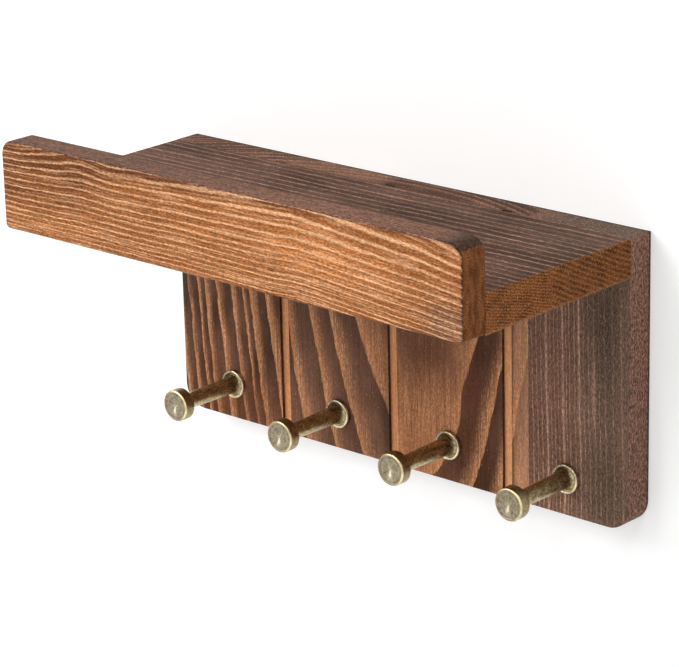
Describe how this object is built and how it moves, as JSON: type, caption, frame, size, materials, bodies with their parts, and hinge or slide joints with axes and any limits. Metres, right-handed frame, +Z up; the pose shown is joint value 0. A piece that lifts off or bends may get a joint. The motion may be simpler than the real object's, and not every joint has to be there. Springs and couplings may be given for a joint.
{
  "type": "wall key holder",
  "caption": "Wall key holder: a grooved wooden back board carries a narrow shelf with a raised front rail and a row of turned brass peg hooks.",
  "frame": {"origin": "centre of the back board's wall face", "axes": "+X along the boards, to the right for someone who faces the wall; +Y into the wall; +Z up"},
  "size_m": [0.28, 0.13, 0.1635],
  "materials": {
    "panel_wood": "dark walnut stain over softwood, thin satin varnish",
    "shelf_wood": "dark walnut stain over softwood, thin satin varnish",
    "rail_wood": "stain rubbed back to orange-brown with light grain lines, thin satin varnish",
    "hook_brass": "antique brass, dark in the hollows and bright on the rims",
    "screw_steel": "zinc plated",
    "dowel_wood": "plain beech"
  },
  "bodies": {
    "root": {"back_panel": "panel_wood", "shelf_board": "shelf_wood", "front_rail": "rail_wood", "hook_1": "hook_brass", "hook_2": "hook_brass", "hook_3": "hook_brass", "hook_4": "hook_brass", "hook_screw_1": "screw_steel", "hook_screw_2": "screw_steel", "hook_screw_3": "screw_steel", "hook_screw_4": "screw_steel", "shelf_screw_1": "screw_steel", "shelf_screw_2": "screw_steel", "shelf_screw_3": "screw_steel", "rail_dowel_1": "dowel_wood", "rail_dowel_2": "dowel_wood", "rail_dowel_3": "dowel_wood"}
  },
  "joints": []
}
